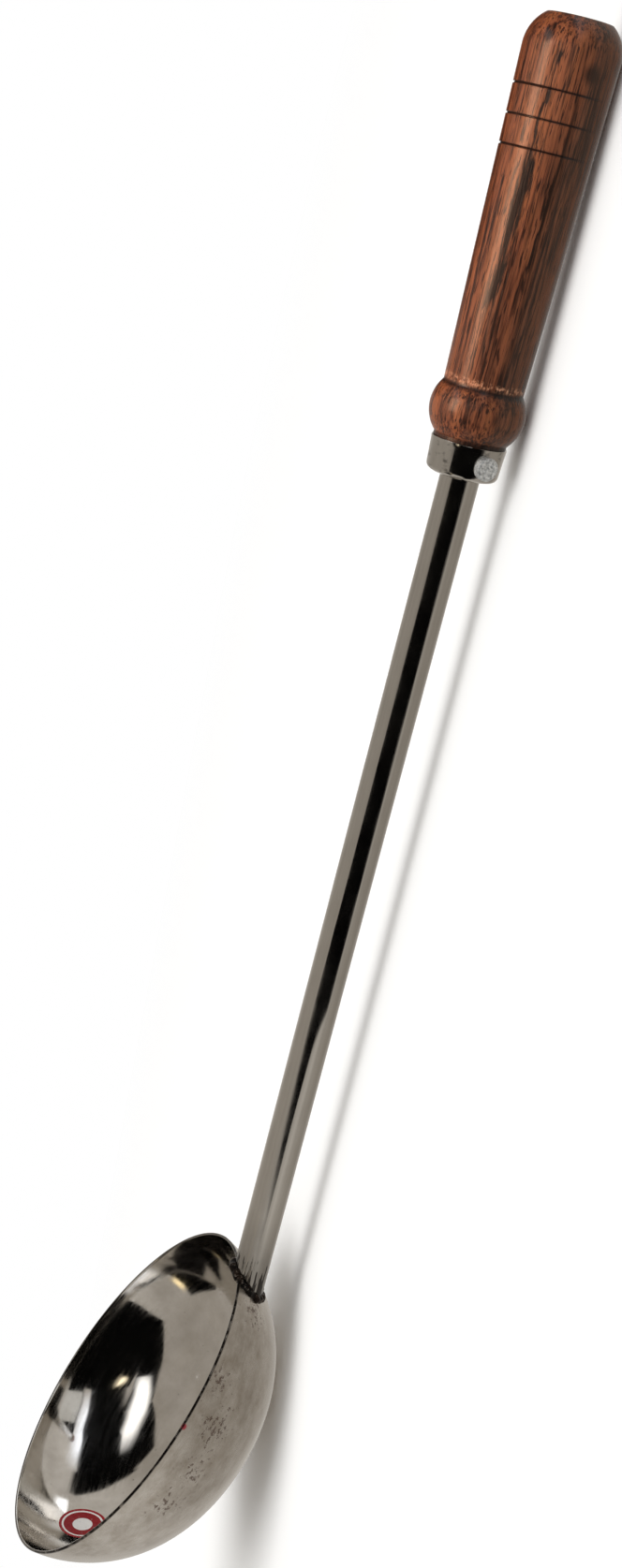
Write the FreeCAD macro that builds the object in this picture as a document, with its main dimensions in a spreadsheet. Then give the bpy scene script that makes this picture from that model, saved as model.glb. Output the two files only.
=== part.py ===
# A long serving ladle: a pressed stainless bowl, a coped steel tube welded to its side,
# and a turned hardwood handle held on the tube by a ferrule and one cross rivet.
# Frame: millimetres, +Z up, +X from the bowl towards the handle, the ladle at rest on a table.
# The origin is on the table, under the middle of the ladle's length.

import FreeCAD, Part
import PartDesign
import Sketcher

import math
import os

from FreeCAD import Placement, Rotation, Vector

doc = FreeCAD.newDocument("ladle")

# Driving dimensions
# Each row is an alias, its value in millimetres or degrees, and what it measures.
# Distances along the shaft start where its axis passes the rim's radius, the shaft's origin.
DIMENSIONS = [
    ("rim_radius", 65.0, "bowl outside at the rim"),
    ("bowl_depth", 49.0, "rim plane to the outside of the bottom"),
    ("crown_radius", 80.0, "outside radius of the shallow bottom"),
    ("wall_draft", 8.0, "degrees that the wall leans out at the rim"),
    ("sheet", 1.0, "bowl sheet thickness"),
    ("shaft_angle", 28.0, "degrees between the shaft and the rim plane"),
    ("shaft_drop", 4.4, "shaft origin below the rim plane"),
    ("tube_radius", 6.35, "half inch tube outside"),
    ("tube_wall", 0.9, "tube wall thickness"),
    ("tube_end", 362.0, "shaft origin to the tube's hidden end"),
    ("root_gap", 0.5, "gap that the weld fills between tube and bowl"),
    ("puddle_radius", 2.0, "mean radius of the weld's puddles"),
    ("ferrule_start", 301.0, "shaft origin to the ferrule's closed end"),
    ("ferrule_height", 10.8, "closed end to open lip"),
    ("ferrule_foot", 11.5, "ferrule outside radius at the closed end"),
    ("ferrule_lip", 12.0, "ferrule outside radius at the open lip"),
    ("ferrule_wall", 0.8, "ferrule sheet thickness"),
    ("ferrule_corner", 2.2, "outside corner round of the closed end"),
    ("clearance", 0.05, "gap between pieces that slide together"),
    ("tenon_bevel", 1.6, "bevel on the wood's end inside the ferrule"),
    ("neck_radius", 11.6, "wood that seats on the ferrule's lip"),
    ("ball_middle", 321.4, "shaft origin to the widest part of the ball"),
    ("ball_radius", 15.05, "largest radius of the ball"),
    ("ball_arc", 12.2, "radius of the ball's outline"),
    ("grip_foot", 12.6, "grip radius where it leaves the ball"),
    ("grip_top", 14.8, "largest radius of the grip"),
    ("grip_top_at", 427.0, "shaft origin to that radius"),
    ("shoulder_arc", 12.0, "radius of the round below the butt"),
    ("butt_end", 436.6, "shaft origin to the flat butt"),
    ("bore_spare", 2.0, "bore beyond the tube's hidden end"),
    ("line_first", 415.9, "shaft origin to the scribed line nearest the butt"),
    ("line_pitch", 8.55, "spacing of the three scribed lines"),
    ("line_width", 1.0, "width of a scribed line"),
    ("line_floor", 14.28, "radius that the first line is cut down to"),
    ("line_step", 0.19, "how much less that radius is for each next line"),
    ("line_offset", 0.35, "how far off the grip's axis the lines are centred"),
    ("rivet_at", 306.2, "shaft origin to the cross rivet"),
    ("rivet_dip", 25.0, "degrees that the near head is turned below level"),
    ("rivet_radius", 2.0, "rivet shank"),
    ("rivet_length", 27.7, "rivet over both heads"),
    ("rivet_head", 3.65, "rivet head radius"),
    ("rivet_head_height", 2.7, "rivet head thickness"),
    ("rivet_round", 0.6, "edge round of the heads"),
]
# The first puddle stands off the shaft's middle plane by a share of the spacing.
LINES = 3
PUDDLES = 16
FIRST_PUDDLE = 0.37

sheet = doc.addObject("Spreadsheet::Sheet", "dims")
for row, (alias, value, meaning) in enumerate(DIMENSIONS, start=1):
    sheet.set(f"A{row}", meaning)
    sheet.set(f"B{row}", str(value))
    sheet.setAlias(f"B{row}", alias)
doc.recompute()


def dim(alias):
    """The value in the sheet's cell of that alias."""
    return float(getattr(sheet, alias))


# Bowl section
# The outside is two tangent arcs: a shallow crown centred on the bowl's axis, and a tighter
# side arc that meets the rim leaning out by the wall draft.
RIM = dim("rim_radius")
CROWN = dim("crown_radius")
DRAFT = math.radians(dim("wall_draft"))
CROWN_Z = CROWN - dim("bowl_depth")
SIDE = (RIM**2 + CROWN_Z**2 - CROWN**2) / (
    2 * (RIM * math.cos(DRAFT) + CROWN_Z * math.sin(DRAFT) - CROWN)
)
SIDE_X = RIM - SIDE * math.cos(DRAFT)
SIDE_Z = SIDE * math.sin(DRAFT)
BLEND = math.atan2(SIDE_X, CROWN_Z - SIDE_Z)

# Resting pose
# The ladle lies on the bowl's side arc and on the round below the handle's butt.
# The line that touches both arcs is the table, and TILT is how far it tips the rim plane.
SHAFT = math.radians(dim("shaft_angle"))


def shaft_point(along, out):
    """The bowl's x and z of a point on the table side of the shaft, out from its axis."""
    x = RIM + along * math.cos(SHAFT) + out * math.sin(SHAFT)
    z = -dim("shaft_drop") + along * math.sin(SHAFT) - out * math.cos(SHAFT)
    return x, z


ROUND_X, ROUND_Z = shaft_point(dim("grip_top_at"), dim("grip_top") - dim("shoulder_arc"))
SPAN = math.hypot(ROUND_X - SIDE_X, ROUND_Z - SIDE_Z)
RISE = math.atan2(ROUND_Z - SIDE_Z, ROUND_X - SIDE_X)
TILT = RISE + math.asin((SIDE - dim("shoulder_arc")) / SPAN)


def lengthwise(x, z):
    """Distance along the table of a point in the bowl's section."""
    return x * math.cos(TILT) + z * math.sin(TILT)


def upward(x, z):
    """Distance above the bowl's centre of a point in the bowl's section."""
    return z * math.cos(TILT) - x * math.sin(TILT)


BOWL_HEIGHT = SIDE - upward(SIDE_X, SIDE_Z)
NEAR_END = lengthwise(-SIDE_X, SIDE_Z) - SIDE
FAR_END = lengthwise(*shaft_point(dim("butt_end"), 0))
MIDDLE = (NEAR_END + FAR_END) / 2

# The bowl's own frame has its origin in the middle of the rim plane.
# The shaft's own frame has +Z along the shaft to the butt, and +X down towards the table.
# The rivet's own frame has +Z along the rivet, from its far head to its near head.
LEVEL = Vector(0, 1, 0)
UPRIGHT = Vector(0, 0, 1)
BOWL_POSE = Placement(Vector(-MIDDLE, 0, BOWL_HEIGHT), Rotation(LEVEL, math.degrees(TILT)))
SHAFT_POSE = BOWL_POSE.multiply(
    Placement(Vector(RIM, 0, -dim("shaft_drop")), Rotation(LEVEL, 90 - dim("shaft_angle")))
)
DIP = math.radians(dim("rivet_dip"))
TO_NEAR_HEAD = Vector(math.sin(DIP), -math.cos(DIP), 0)
RIVET_POSE = SHAFT_POSE.multiply(
    Placement(
        Vector(0, 0, dim("rivet_at")) - TO_NEAR_HEAD * (dim("rivet_length") / 2),
        Rotation(UPRIGHT, TO_NEAR_HEAD),
    )
)

# Sketch helpers
START, END, CENTRE = 1, 2, 3
ORIGIN = (-1, 1)
H_AXIS, V_AXIS = -1, -2
RIGHT, DOWN, UP = 0, -math.pi / 2, math.pi / 2


def new_body(name, pose):
    body = doc.addObject("PartDesign::Body", name)
    body.Placement = pose
    return body


def new_sketch(body, name, role="XZ_Plane"):
    """A sketch on one of the body's own origin planes."""
    sketch = body.newObject("Sketcher::SketchObject", name)
    plane = next(p for p in body.Origin.OriginFeatures if p.Role == role)
    sketch.AttachmentSupport = [(plane, "")]
    sketch.MapMode = "FlatFace"
    return sketch


def line(start, end):
    return Part.LineSegment(Vector(*start, 0), Vector(*end, 0))


def arc(centre, radius, start, end):
    """A counter-clockwise arc, its angles in radians from the sketch's horizontal axis."""
    circle = Part.Circle(Vector(*centre, 0), Vector(0, 0, 1), radius)
    return Part.ArcOfCircle(circle, start, end)


def tie(sketch, kind, *where):
    sketch.addConstraint(Sketcher.Constraint(kind, *where))


def chain(sketch, pieces, backwards=(), smooth=()):
    """Adds pieces that follow each other round a closed outline, and returns the first index.
    Those in backwards run from END to START. A piece in smooth is tangent to the next one."""
    first = sketch.addGeometry(pieces[0], False)
    for piece in pieces[1:]:
        sketch.addGeometry(piece, False)
    count = len(pieces)
    for i in range(count):
        j = (i + 1) % count
        leave = START if i in backwards else END
        enter = END if j in backwards else START
        kind = "Tangent" if i in smooth else "Coincident"
        tie(sketch, kind, first + i, leave, first + j, enter)
    return first


def bind(sketch, expression, kind, *where):
    """Adds a dimension with the value that is drawn, and ties it to cells of the sheet."""
    if kind == "Radius":
        drawn = sketch.Geometry[where[0]].Radius
    elif kind == "Angle":
        ends = sketch.getPoint(where[0], END) - sketch.getPoint(where[0], START)
        drawn = math.atan2(ends.y, ends.x)
    else:
        gap = sketch.getPoint(*where[2:]) - sketch.getPoint(*where[:2])
        drawn = gap.x if kind == "DistanceX" else gap.y
    index = sketch.addConstraint(Sketcher.Constraint(kind, *where, drawn))
    sketch.setExpression(f"Constraints[{index}]", expression)


def place(sketch, geometry, end, across=None, up=None):
    """Ties a point's distances from the sketch's origin to cells of the sheet."""
    if across:
        bind(sketch, across, "DistanceX", *ORIGIN, geometry, end)
    if up:
        bind(sketch, up, "DistanceY", *ORIGIN, geometry, end)


def turn(body, sketch, name, kind="PartDesign::Revolution", axis="V_Axis"):
    """A full turn of the sketch about an axis of its own."""
    feature = body.newObject(kind, name)
    feature.Profile = sketch
    feature.ReferenceAxis = (sketch, [axis])
    feature.Angle = 360
    return feature


def cut(name, base, tool):
    feature = doc.addObject("Part::Cut", name)
    feature.Base = base
    feature.Tool = tool
    return feature


# Bowl
def tie_outside(sketch, crown, side):
    """Fixes the crown and side arcs with the bowl's dimensions and a spoke to the rim."""
    spoke = sketch.addGeometry(line((SIDE_X, SIDE_Z), (RIM, 0)), True)
    tie(sketch, "PointOnObject", crown, CENTRE, V_AXIS)
    tie(sketch, "PointOnObject", crown, START, V_AXIS)
    tie(sketch, "Coincident", spoke, START, side, CENTRE)
    tie(sketch, "PointOnObject", spoke, END, side)
    tie(sketch, "PointOnObject", spoke, END, H_AXIS)
    place(sketch, spoke, END, across="dims.rim_radius")
    bind(sketch, "-dims.wall_draft * 1 deg", "Angle", spoke)
    bind(sketch, "dims.crown_radius", "Radius", crown)
    bind(sketch, "dims.bowl_depth", "DistanceY", crown, START, *ORIGIN)


def make_bowl():
    """Even sheet between two pairs of arcs, with its cut edge rounded over."""
    body = new_body("bowl", BOWL_POSE)
    sketch = new_sketch(body, "bowl_section")
    thick = dim("sheet")
    middle = SIDE - thick / 2
    edge = (SIDE_X + middle * math.cos(DRAFT), SIDE_Z - middle * math.sin(DRAFT))
    bottom = -dim("bowl_depth")
    first = chain(
        sketch,
        [
            arc((0, CROWN_Z), CROWN, DOWN, DOWN + BLEND),
            arc((SIDE_X, SIDE_Z), SIDE, DOWN + BLEND, -DRAFT),
            arc(edge, thick / 2, -DRAFT, math.pi - DRAFT),
            arc((SIDE_X, SIDE_Z), SIDE - thick, DOWN + BLEND, -DRAFT),
            arc((0, CROWN_Z), CROWN - thick, DOWN, DOWN + BLEND),
            line((0, bottom + thick), (0, bottom)),
        ],
        backwards=(3, 4),
        smooth=(0, 1, 2, 3),
    )
    crown, side, _, inner_side, inner_crown, web = range(first, first + 6)
    tie_outside(sketch, crown, side)
    tie(sketch, "PointOnObject", side, END, H_AXIS)
    tie(sketch, "Coincident", inner_side, CENTRE, side, CENTRE)
    tie(sketch, "Coincident", inner_crown, CENTRE, crown, CENTRE)
    tie(sketch, "PointOnObject", web, START, V_AXIS)
    bind(sketch, "dims.sheet", "DistanceY", web, END, web, START)
    turn(body, sketch, "pressed_sheet")
    return body


def make_bowl_form():
    """The bowl's outside as a solid, with its side arc carried on above the rim."""
    body = new_body("bowl_form", BOWL_POSE)
    sketch = new_sketch(body, "form_section")
    first = chain(
        sketch,
        [
            arc((0, CROWN_Z), CROWN, DOWN, DOWN + BLEND),
            arc((SIDE_X, SIDE_Z), SIDE, DOWN + BLEND, RIGHT),
            line((SIDE_X + SIDE, SIDE_Z), (0, SIDE_Z)),
            line((0, SIDE_Z), (0, -dim("bowl_depth"))),
        ],
        smooth=(0,),
    )
    crown, side, lid, _ = range(first, first + 4)
    tie_outside(sketch, crown, side)
    tie(sketch, "Horizontal", side, END, side, CENTRE)
    tie(sketch, "Horizontal", lid)
    tie(sketch, "PointOnObject", lid, END, V_AXIS)
    turn(body, sketch, "form_turned")
    return body


# Shaft
def make_rivet_hole():
    """The hole that the rivet fills, right across the ferrule, the wood and the tube."""
    bar = doc.addObject("Part::Cylinder", "rivet_hole")
    bar.setExpression("Radius", "dims.rivet_radius")
    bar.setExpression("Height", "dims.rivet_length")
    bar.Placement = RIVET_POSE
    return bar


def make_shaft(form, hole):
    """The tube, its end coped to the bowl's side and drawn back to leave the weld's gap."""
    stock = new_body("tube_stock", SHAFT_POSE)
    sketch = new_sketch(stock, "tube_section", "XY_Plane")
    radius = dim("tube_radius")
    for size in (radius, radius - dim("tube_wall")):
        circle = Part.Circle(Vector(0, 0, 0), Vector(0, 0, 1), size)
        tie(sketch, "Coincident", sketch.addGeometry(circle, False), CENTRE, *ORIGIN)
    bind(sketch, "dims.tube_radius", "Radius", 0)
    bind(sketch, "dims.tube_radius - dims.tube_wall", "Radius", 1)
    sketch.setExpression(".AttachmentOffset.Base.z", "-2 * dims.tube_radius")
    pad = stock.newObject("PartDesign::Pad", "drawn_tube")
    pad.Profile = sketch
    pad.setExpression("Length", "dims.tube_end + 2 * dims.tube_radius")
    coped = cut("coped_tube", stock, form)
    along = SHAFT_POSE.Rotation.multVec(UPRIGHT)
    coped.Placement = Placement(along * dim("root_gap"), Rotation())
    return cut("shaft_tube", coped, hole)


# Weld
def seam(around):
    """How far along the shaft the tube's surface meets the bowl's side, by halving the range."""
    low, high = -2 * dim("tube_radius"), 2 * dim("tube_radius")
    while high - low > 1e-4:
        middle = (low + high) / 2
        x, z = shaft_point(middle, dim("tube_radius") * math.cos(around))
        y = dim("tube_radius") * math.sin(around)
        if math.hypot(math.hypot(x, y) - SIDE_X, z - SIDE_Z) < SIDE:
            low = middle
        else:
            high = middle
    return low


def make_weld(form, shaft):
    """A ring of overlapping puddles along the seam, uneven like a bead laid by hand."""
    puddles = []
    for i in range(PUDDLES):
        around = 2 * math.pi * (i + FIRST_PUDDLE) / PUDDLES
        puddle = doc.addObject("Part::Sphere", f"puddle_{i + 1:02d}")
        swell = round(1 + 0.12 * math.sin(4.3 * i), 2)
        puddle.setExpression("Radius", f"dims.puddle_radius * {swell}")
        outward = Vector(math.cos(around), math.sin(around), 0)
        along = UPRIGHT.cross(outward)
        spot = outward * dim("tube_radius") + UPRIGHT * seam(around)
        puddle.Placement = SHAFT_POSE.multiply(Placement(spot, Rotation(UPRIGHT, along)))
        puddles.append(puddle)
    ring = doc.addObject("Part::MultiFuse", "puddle_ring")
    ring.Shapes = puddles
    return cut("weld_bead", cut("ring_outside_bowl", ring, form), shaft)


# Ferrule
def make_ferrule(hole):
    """A pressed cup that slides on the tube, closed end towards the bowl."""
    body = new_body("ferrule_cup", SHAFT_POSE)
    sketch = new_sketch(body, "ferrule_section")
    thick = dim("ferrule_wall")
    corner = dim("ferrule_corner")
    bore = dim("tube_radius") + dim("clearance")
    low = dim("ferrule_start")
    high = low + dim("ferrule_height")
    foot = dim("ferrule_foot")
    lip = dim("ferrule_lip")
    centre = (foot - corner, low + corner)
    first = chain(
        sketch,
        [
            line((bore, low), (foot - corner, low)),
            arc(centre, corner, DOWN, RIGHT),
            line((foot, low + corner), (lip, high)),
            line((lip, high), (lip - thick, high)),
            line((lip - thick, high), (foot - thick, low + corner)),
            arc(centre, corner - thick, DOWN, RIGHT),
            line((foot - corner, low + thick), (bore, low + thick)),
            line((bore, low + thick), (bore, low)),
        ],
        backwards=(5,),
    )
    floor, bend, wall, edge, inner_wall, inner_bend, inner_floor, rim = range(first, first + 8)
    for level in (floor, edge, inner_floor):
        tie(sketch, "Horizontal", level)
    tie(sketch, "Vertical", rim)
    tie(sketch, "Coincident", inner_bend, CENTRE, bend, CENTRE)
    tie(sketch, "Vertical", bend, CENTRE, bend, START)
    tie(sketch, "Horizontal", bend, CENTRE, bend, END)
    tie(sketch, "Vertical", inner_bend, CENTRE, inner_bend, START)
    tie(sketch, "Horizontal", inner_bend, CENTRE, inner_bend, END)
    bind(sketch, "dims.ferrule_corner", "Radius", bend)
    bind(sketch, "dims.ferrule_corner - dims.ferrule_wall", "Radius", inner_bend)
    place(sketch, rim, END, "dims.tube_radius + dims.clearance", "dims.ferrule_start")
    place(sketch, bend, END, across="dims.ferrule_foot")
    place(sketch, wall, END, "dims.ferrule_lip", "dims.ferrule_start + dims.ferrule_height")
    bind(sketch, "dims.ferrule_wall", "DistanceX", inner_wall, START, wall, END)
    turn(body, sketch, "drawn_cup")
    return cut("ferrule", body, hole)


# Handle
def make_handle(hole):
    """The turned wood: a tenon in the ferrule, a neck, the ball, the grip and a flat butt."""
    body = new_body("handle_turning", SHAFT_POSE)
    sketch = new_sketch(body, "handle_section")
    gap = dim("clearance")
    inside = gap + dim("ferrule_wall")
    bore = dim("tube_radius") + gap
    low = dim("ferrule_start") + inside
    seat = dim("ferrule_start") + dim("ferrule_height") + gap
    bevel = dim("tenon_bevel")
    tenon = dim("ferrule_foot") - inside
    neck = dim("neck_radius")
    ball = (dim("ball_radius") - dim("ball_arc"), dim("ball_middle"))
    ball_from = -math.acos((neck - ball[0]) / dim("ball_arc"))
    ball_to = math.acos((dim("grip_foot") - ball[0]) / dim("ball_arc"))
    neck_top = ball[1] + dim("ball_arc") * math.sin(ball_from)
    grip_low = ball[1] + dim("ball_arc") * math.sin(ball_to)
    butt = dim("butt_end")
    shoulder = (dim("grip_top") - dim("shoulder_arc"), dim("grip_top_at"))
    butt_turn = math.asin((butt - shoulder[1]) / dim("shoulder_arc"))
    butt_radius = shoulder[0] + dim("shoulder_arc") * math.cos(butt_turn)
    bore_end = dim("tube_end") + dim("bore_spare")
    first = chain(
        sketch,
        [
            line((bore, low), (tenon - bevel, low)),
            line((tenon - bevel, low), (tenon, low + bevel)),
            line((tenon, low + bevel), (dim("ferrule_lip") - inside, seat)),
            line((dim("ferrule_lip") - inside, seat), (neck, seat)),
            line((neck, seat), (neck, neck_top)),
            arc(ball, dim("ball_arc"), ball_from, ball_to),
            line((dim("grip_foot"), grip_low), (dim("grip_top"), shoulder[1])),
            arc(shoulder, dim("shoulder_arc"), RIGHT, butt_turn),
            line((butt_radius, butt), (0, butt)),
            line((0, butt), (0, bore_end)),
            line((0, bore_end), (bore, bore_end)),
            line((bore, bore_end), (bore, low)),
        ],
        smooth=(6,),
    )
    (end, slope, side, ledge, collar, round_ball, grip, round_shoulder, flat, core, drill, wall) = (
        range(first, first + 12)
    )
    for level in (end, ledge, flat, drill):
        tie(sketch, "Horizontal", level)
    for upright in (collar, wall):
        tie(sketch, "Vertical", upright)
    tie(sketch, "PointOnObject", flat, END, V_AXIS)
    tie(sketch, "PointOnObject", core, END, V_AXIS)
    within = "dims.clearance - dims.ferrule_wall"
    place(sketch, wall, END, "dims.tube_radius + dims.clearance")
    place(sketch, wall, END, up="dims.ferrule_start + dims.clearance + dims.ferrule_wall")
    place(sketch, slope, END, across=f"dims.ferrule_foot - {within}")
    bind(sketch, "dims.tenon_bevel", "DistanceX", slope, START, slope, END)
    bind(sketch, "dims.tenon_bevel", "DistanceY", slope, START, slope, END)
    place(sketch, side, END, across=f"dims.ferrule_lip - {within}")
    place(sketch, side, END, up="dims.ferrule_start + dims.ferrule_height + dims.clearance")
    place(sketch, collar, START, across="dims.neck_radius")
    place(sketch, round_ball, CENTRE, "dims.ball_radius - dims.ball_arc", "dims.ball_middle")
    bind(sketch, "dims.ball_arc", "Radius", round_ball)
    place(sketch, grip, START, across="dims.grip_foot")
    place(sketch, round_shoulder, CENTRE, "dims.grip_top - dims.shoulder_arc", "dims.grip_top_at")
    bind(sketch, "dims.shoulder_arc", "Radius", round_shoulder)
    place(sketch, flat, END, up="dims.butt_end")
    place(sketch, core, END, up="dims.tube_end + dims.bore_spare")
    turn(body, sketch, "turned_wood")
    scribe_lines(body)
    return cut("handle", body, hole)


def scribe_lines(body):
    """Lines cut about an axis just off the grip's, so that they fade out on the table side."""
    sketch = new_sketch(body, "line_sections")
    offset = dim("line_offset")
    width = dim("line_width")
    outer = dim("grip_top") + width
    spindle = sketch.addGeometry(line((offset, 0), (offset, dim("butt_end"))), True)
    tie(sketch, "Vertical", spindle)
    tie(sketch, "PointOnObject", spindle, START, H_AXIS)
    place(sketch, spindle, END, "dims.line_offset", "dims.butt_end")
    for i in range(LINES):
        floor = offset + dim("line_floor") - i * dim("line_step")
        low = dim("line_first") - i * dim("line_pitch") - width / 2
        corners = [(floor, low), (outer, low), (outer, low + width), (floor, low + width)]
        sides = [line(corners[k], corners[(k + 1) % 4]) for k in range(4)]
        first = chain(sketch, sides)
        for k, direction in enumerate(("Horizontal", "Vertical") * 2):
            tie(sketch, direction, first + k)
        place(sketch, first, START, f"dims.line_offset + dims.line_floor - {i} * dims.line_step")
        middle = f"dims.line_first - {i} * dims.line_pitch"
        place(sketch, first, START, up=f"{middle} - dims.line_width / 2")
        place(sketch, first + 1, END, "dims.grip_top + dims.line_width")
        place(sketch, first + 1, END, up=f"{middle} + dims.line_width / 2")
    turn(body, sketch, "scribed_lines", "PartDesign::Groove", "Axis0")


# Rivet
def make_rivet(ferrule):
    """A round bar headed over at both ends, each head bedded on the ferrule's curve."""
    body = new_body("headed_bar", RIVET_POSE)
    sketch = new_sketch(body, "rivet_section")
    shank = dim("rivet_radius")
    head = dim("rivet_head")
    deep = dim("rivet_head_height")
    soft = dim("rivet_round")
    top = dim("rivet_length")
    first = chain(
        sketch,
        [
            line((0, 0), (head - soft, 0)),
            arc((head - soft, soft), soft, DOWN, RIGHT),
            line((head, soft), (head, deep)),
            line((head, deep), (shank, deep)),
            line((shank, deep), (shank, top - deep)),
            line((shank, top - deep), (head, top - deep)),
            line((head, top - deep), (head, top - soft)),
            arc((head - soft, top - soft), soft, RIGHT, UP),
            line((head - soft, top), (0, top)),
            line((0, top), (0, 0)),
        ],
        smooth=(0, 1, 6, 7),
    )
    far, far_round, far_side, far_seat, bar, near_seat, near_side, near_round, near, _ = range(
        first, first + 10
    )
    for level in (far, far_seat, near_seat, near):
        tie(sketch, "Horizontal", level)
    for upright in (far_side, bar, near_side):
        tie(sketch, "Vertical", upright)
    tie(sketch, "Coincident", far, START, *ORIGIN)
    tie(sketch, "PointOnObject", near, END, V_AXIS)
    bind(sketch, "dims.rivet_round", "Radius", far_round)
    bind(sketch, "dims.rivet_round", "Radius", near_round)
    place(sketch, far_side, END, "dims.rivet_head", "dims.rivet_head_height")
    place(sketch, bar, END, "dims.rivet_radius", "dims.rivet_length - dims.rivet_head_height")
    place(sketch, near_side, START, across="dims.rivet_head")
    place(sketch, near, END, up="dims.rivet_length")
    turn(body, sketch, "headed_over")
    return cut("cross_rivet", body, ferrule)


# Assembly
bowl = make_bowl()
bowl_form = make_bowl_form()
rivet_hole = make_rivet_hole()
shaft_tube = make_shaft(bowl_form, rivet_hole)
weld_bead = make_weld(bowl_form, shaft_tube)
ferrule = make_ferrule(rivet_hole)
handle = make_handle(rivet_hole)
cross_rivet = make_rivet(ferrule)
doc.recompute()

for item in doc.Objects:
    if {"Invalid", "Error"} & set(item.State):
        raise RuntimeError(f"{item.Name} did not build: {item.State}")
    if item.TypeId == "Sketcher::SketchObject" and item.solve() != 0:
        raise RuntimeError(f"{item.Name} does not solve")

os.makedirs("parts", exist_ok=True)
for piece in (bowl, shaft_tube, weld_bead, ferrule, handle, cross_rivet):
    shape = piece.Shape
    if shape.isNull() or not shape.isValid() or len(shape.Solids) != 1:
        raise RuntimeError(f"{piece.Label} is not one sound solid")
    shape.exportStep(f"parts/{piece.Label}.step")
    box = shape.BoundBox
    print(f"{piece.Label}: {shape.Volume:.0f} mm3, x {box.XMin:.1f} to {box.XMax:.1f},", end=" ")
    print(f"y {box.YMin:.1f} to {box.YMax:.1f}, z {box.ZMin:.2f} to {box.ZMax:.1f}")
print(f"tilt {math.degrees(TILT):.3f}, blend {math.degrees(BLEND):.3f} degrees")
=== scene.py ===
# %% [markdown]
# A long serving ladle, dressed for its picture.
# The construction (a pressed bowl, a tube welded to it, a ferrule, a cross rivet and a turned
# handle) comes in as a fixed frame. This lesson gives each piece the surface and the small
# forms that hand and tool left on it, then sets the floor, the light and the camera.

# %% Load the frame
import math

import bpy
import numpy as np
from mathutils import Matrix, Vector


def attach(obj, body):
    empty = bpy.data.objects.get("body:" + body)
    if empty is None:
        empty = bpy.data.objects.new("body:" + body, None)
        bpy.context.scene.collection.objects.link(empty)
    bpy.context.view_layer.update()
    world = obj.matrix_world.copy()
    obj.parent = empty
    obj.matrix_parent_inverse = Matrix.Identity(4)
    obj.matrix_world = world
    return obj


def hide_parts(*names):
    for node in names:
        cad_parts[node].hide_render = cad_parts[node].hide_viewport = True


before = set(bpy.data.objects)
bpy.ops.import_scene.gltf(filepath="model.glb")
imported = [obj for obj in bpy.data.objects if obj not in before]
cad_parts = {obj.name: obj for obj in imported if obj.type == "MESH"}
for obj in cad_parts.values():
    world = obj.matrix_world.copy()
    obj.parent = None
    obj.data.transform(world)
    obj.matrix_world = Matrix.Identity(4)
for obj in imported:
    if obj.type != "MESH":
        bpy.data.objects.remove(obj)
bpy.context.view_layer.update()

# %% [markdown]
# The driving sizes are the construction's own, in millimetres. Only the three scribed lines are
# drawn a little narrower and shallower, as fine as they look on the real handle. Everything is
# drawn in one of two frames: the bowl's, with its origin in the middle of the rim, and the
# shaft's, with +Z along the shaft to the butt and +X down to the table. Two matrices carry
# points from there to the table's frame in metres, so that a piece is drawn upright and still
# lands in its place.

# %% Driving sizes and the two frames
RIM, DEPTH, CROWN, SHEET = 65.0, 49.0, 80.0, 1.0
DRAFT = math.radians(8)
SHAFT = math.radians(28)
SHAFT_DROP = 4.4
TUBE, TUBE_WALL, TUBE_END, ROOT_GAP = 6.35, 0.9, 362.0, 0.5
FERRULE, FERRULE_HEIGHT, FERRULE_FOOT, FERRULE_LIP = 301.0, 10.8, 11.5, 12.0
FERRULE_WALL, FERRULE_CORNER, GAP = 0.8, 2.2, 0.05
NECK, BALL_AT, BALL, BALL_ARC = 11.6, 321.4, 15.05, 12.2
GRIP_FOOT, GRIP_TOP, GRIP_TOP_AT = 12.6, 14.8, 427.0
SHOULDER_ARC, BUTT = 12.0, 436.6
LINES_AT, LINE_WIDTH, LINE_OFFSET = (415.9, 407.35, 398.8), 0.85, 0.26
LINE_FLOORS = (14.34, 14.15, 13.96)
RIVET_AT, RIVET_DIP, RIVET_SPAN = 306.2, math.radians(25), 27.7
RIVET_HEAD, RIVET_THICK = 3.65, 2.7

CROWN_Z = CROWN - DEPTH
SIDE = (RIM**2 + CROWN_Z**2 - CROWN**2) / (
    2 * (RIM * math.cos(DRAFT) + CROWN_Z * math.sin(DRAFT) - CROWN)
)
SIDE_X, SIDE_Z = RIM - SIDE * math.cos(DRAFT), SIDE * math.sin(DRAFT)
BLEND = math.atan2(SIDE_X, CROWN_Z - SIDE_Z)


def shaft_point(along, out):
    """The bowl's x and z of a point at a distance along the shaft and out towards the table."""
    x = RIM + along * math.cos(SHAFT) + out * math.sin(SHAFT)
    z = -SHAFT_DROP + along * math.sin(SHAFT) - out * math.cos(SHAFT)
    return x, z


def moved(x, y, z):
    """The matrix that shifts by x, y and z."""
    return Matrix.Translation((x, y, z))


def tipped(angle):
    """The matrix that turns about the level axis across the ladle."""
    return Matrix.Rotation(angle, 4, "Y")


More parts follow.
